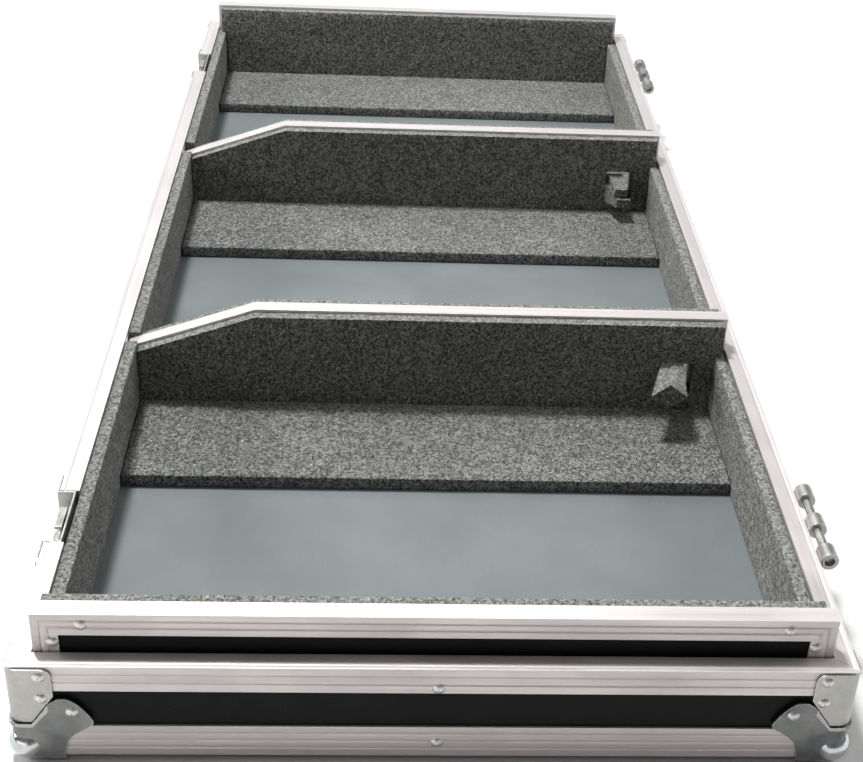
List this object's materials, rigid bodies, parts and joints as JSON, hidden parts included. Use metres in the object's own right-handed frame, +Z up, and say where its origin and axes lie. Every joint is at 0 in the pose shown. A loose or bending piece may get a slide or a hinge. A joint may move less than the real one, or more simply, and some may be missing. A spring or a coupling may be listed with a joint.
{
  "type": "dj coffin case base",
  "caption": "Low open tray with framed rims, raised capped ends and two capped, slope-fronted dividers that part it into foam-lined bays, with recessed latches and lift-off hinges.",
  "frame": {"origin": "centre of the floor panel's underside", "axes": "+X along the case towards the bay on the user's right, +Y towards the hinges at the rear, -Y towards the latches and the user, +Z up"},
  "size_m": [1.1542, 0.5069, 0.099],
  "materials": {
    "aluminium": "satin, drawn grooves",
    "zinc": "bright zinc plated",
    "laminate": "plywood faced with near-black laminate",
    "floor_sheet": "plywood faced with smooth blue-grey laminate",
    "foam": "matt open-cell foam"
  },
  "bodies": {
    "tray": {"floor_panel": "floor_sheet", "rear_wall": "laminate", "left_end_wall": "laminate", "right_end_wall": "laminate", "front_wall": "laminate", "raised_wall_left": "laminate", "raised_wall_right": "laminate", "divider_left": "laminate", "divider_right": "laminate", "bottom_angle_front": "aluminium", "bottom_angle_rear": "aluminium", "bottom_angle_left": "aluminium", "bottom_angle_right": "aluminium", "rim_rear": "aluminium", "rim_left": "aluminium", "rim_right": "aluminium", "rim_front_left": "aluminium", "rim_front_middle": "aluminium", "rim_front_right": "aluminium", "raised_cap_left": "aluminium", "raised_cap_right": "aluminium", "divider_cap_left": "aluminium", "divider_cap_right": "aluminium", "corner_brace_front_left": "zinc", "corner_brace_rear_left": "zinc", "corner_brace_front_right": "zinc", "corner_brace_rear_right": "zinc", "ball_corner_front_left": "zinc", "ball_corner_rear_left": "zinc", "ball_corner_front_right": "zinc", "ball_corner_rear_right": "zinc", "end_foam_left": "foam", "end_foam_right": "foam", "divider_foam_left_bay": "foam", "divider_foam_middle_left": "foam", "divider_foam_middle_right": "foam", "divider_foam_right_bay": "foam", "front_foam_left_bay": "foam", "rear_foam_left_bay": "foam", "floor_pad_left_bay_far": "foam", "floor_pad_left_bay_near": "foam", "front_foam_middle_bay": "foam", "rear_foam_middle_bay": "foam", "floor_pad_middle_bay_far": "foam", "floor_pad_middle_bay_near": "foam", "front_foam_right_bay": "foam", "rear_foam_right_bay": "foam", "floor_pad_right_bay_far": "foam", "floor_pad_right_bay_near": "foam", "hinge_leaf_left": "zinc", "hinge_leaf_right": "zinc", "latch_dish_left": "zinc", "latch_dish_right": "zinc"},
    "latch_rotor_left": {"latch_hub_left": "zinc"},
    "latch_wings_left": {"latch_wing_left": "zinc"},
    "latch_lift_left": {"latch_hook_left": "zinc"},
    "latch_rotor_right": {"latch_hub_right": "zinc"},
    "latch_wings_right": {"latch_wing_right": "zinc"},
    "latch_lift_right": {"latch_hook_right": "zinc"}
  },
  "joints": [
    {"name": "latch_turn_left", "type": "hinge", "parent": "tray", "child": "latch_rotor_left", "pos_m": [-0.427, -0.2401, 0.046], "axis": [0, -1, 0], "range_deg": [0, 180]},
    {"name": "wing_fold_left", "type": "hinge", "parent": "latch_rotor_left", "child": "latch_wings_left", "pos_m": [-0.427, -0.2434, 0.046], "axis": [-1, 0, 0], "range_deg": [0, 90]},
    {"name": "hook_lift_left", "type": "slide", "parent": "tray", "child": "latch_lift_left", "axis": [0, 0, 1], "range_m": [0, 0.008]},
    {"name": "latch_turn_right", "type": "hinge", "parent": "tray", "child": "latch_rotor_right", "pos_m": [0.427, -0.2401, 0.046], "axis": [0, -1, 0], "range_deg": [0, 180]},
    {"name": "wing_fold_right", "type": "hinge", "parent": "latch_rotor_right", "child": "latch_wings_right", "pos_m": [0.427, -0.2434, 0.046], "axis": [-1, 0, 0], "range_deg": [0, 90]},
    {"name": "hook_lift_right", "type": "slide", "parent": "tray", "child": "latch_lift_right", "axis": [0, 0, 1], "range_m": [0, 0.008]}
  ],
  "couplings": [
    {"joint": "hook_lift_left", "follows": "latch_turn_left", "m_per_rad": 0.002546},
    {"joint": "hook_lift_right", "follows": "latch_turn_right", "m_per_rad": 0.002546}
  ]
}
